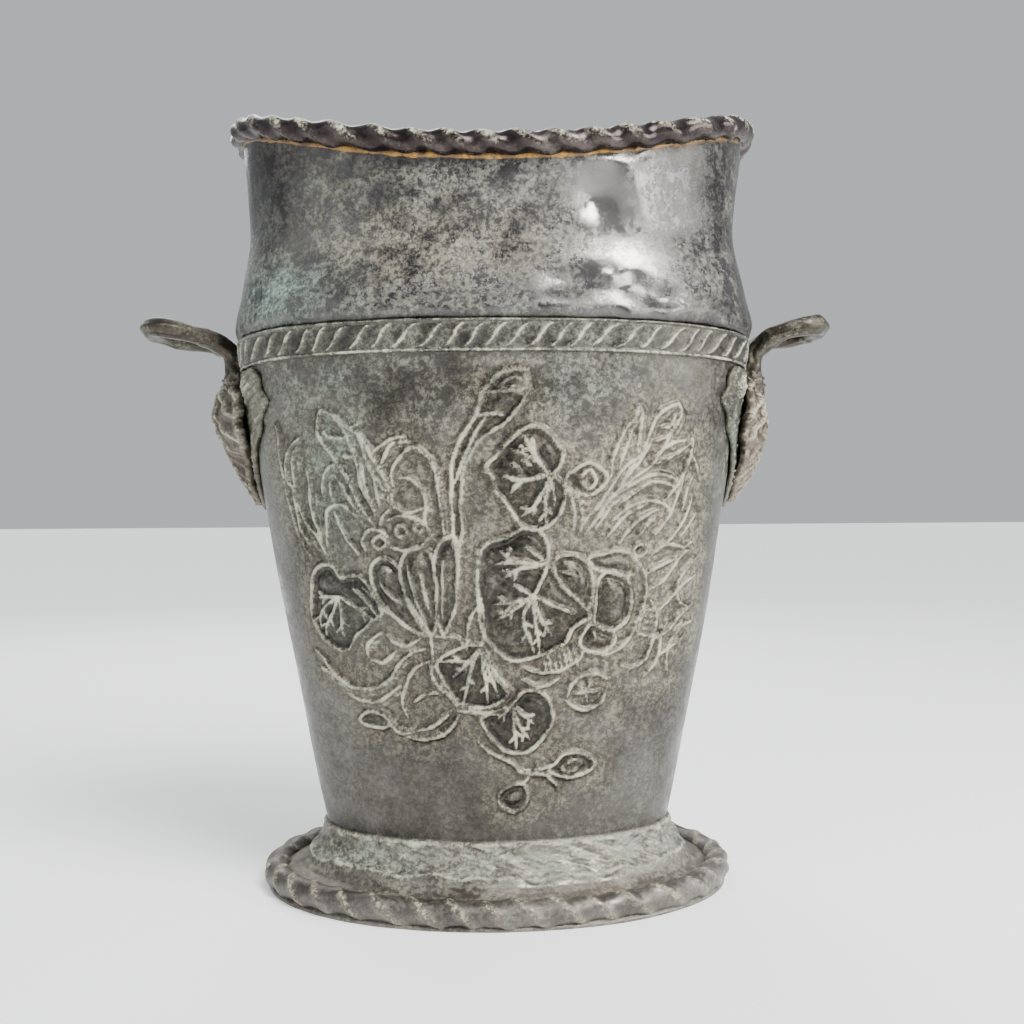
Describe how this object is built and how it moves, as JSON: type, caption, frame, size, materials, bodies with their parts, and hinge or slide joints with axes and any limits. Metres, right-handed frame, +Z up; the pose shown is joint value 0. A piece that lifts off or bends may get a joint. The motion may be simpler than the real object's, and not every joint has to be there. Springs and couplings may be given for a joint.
{
  "type": "planter pot",
  "caption": "Tall oval brass planter pot on a flared foot, with a dipping rope-trimmed rim, an embossed shoulder band and a leaf-mounted loop handle at each end.",
  "frame": {"origin": "middle of the foot's outline, on the surface that the foot stands on", "axes": "+Z up, X along the oval through the two handles, and the embossed front faces -Y"},
  "size_m": [0.3136, 0.1598, 0.3392],
  "materials": {
    "sheet_brass": "dark brown-grey patina with pale verdigris in the recesses",
    "rope_brass": "dark brown patina, worn bright along the ridges",
    "foot_brass": "dark patina with a pale green crust on the collar",
    "cast_brass": "brown-grey patina with some bare brass"
  },
  "bodies": {
    "root": {"body_front": "sheet_brass", "body_back": "sheet_brass", "pot_floor": "sheet_brass", "shoulder_band": "sheet_brass", "neck_collar": "sheet_brass", "rim_rope": "rope_brass", "foot_rope": "rope_brass", "foot_flange": "foot_brass", "left_backplate": "cast_brass", "left_lug": "cast_brass", "left_leaf": "cast_brass", "left_stem": "cast_brass", "left_binding": "cast_brass", "left_grip": "cast_brass", "right_backplate": "cast_brass", "right_lug": "cast_brass", "right_leaf": "cast_brass", "right_stem": "cast_brass", "right_binding": "cast_brass", "right_grip": "cast_brass"}
  },
  "joints": []
}
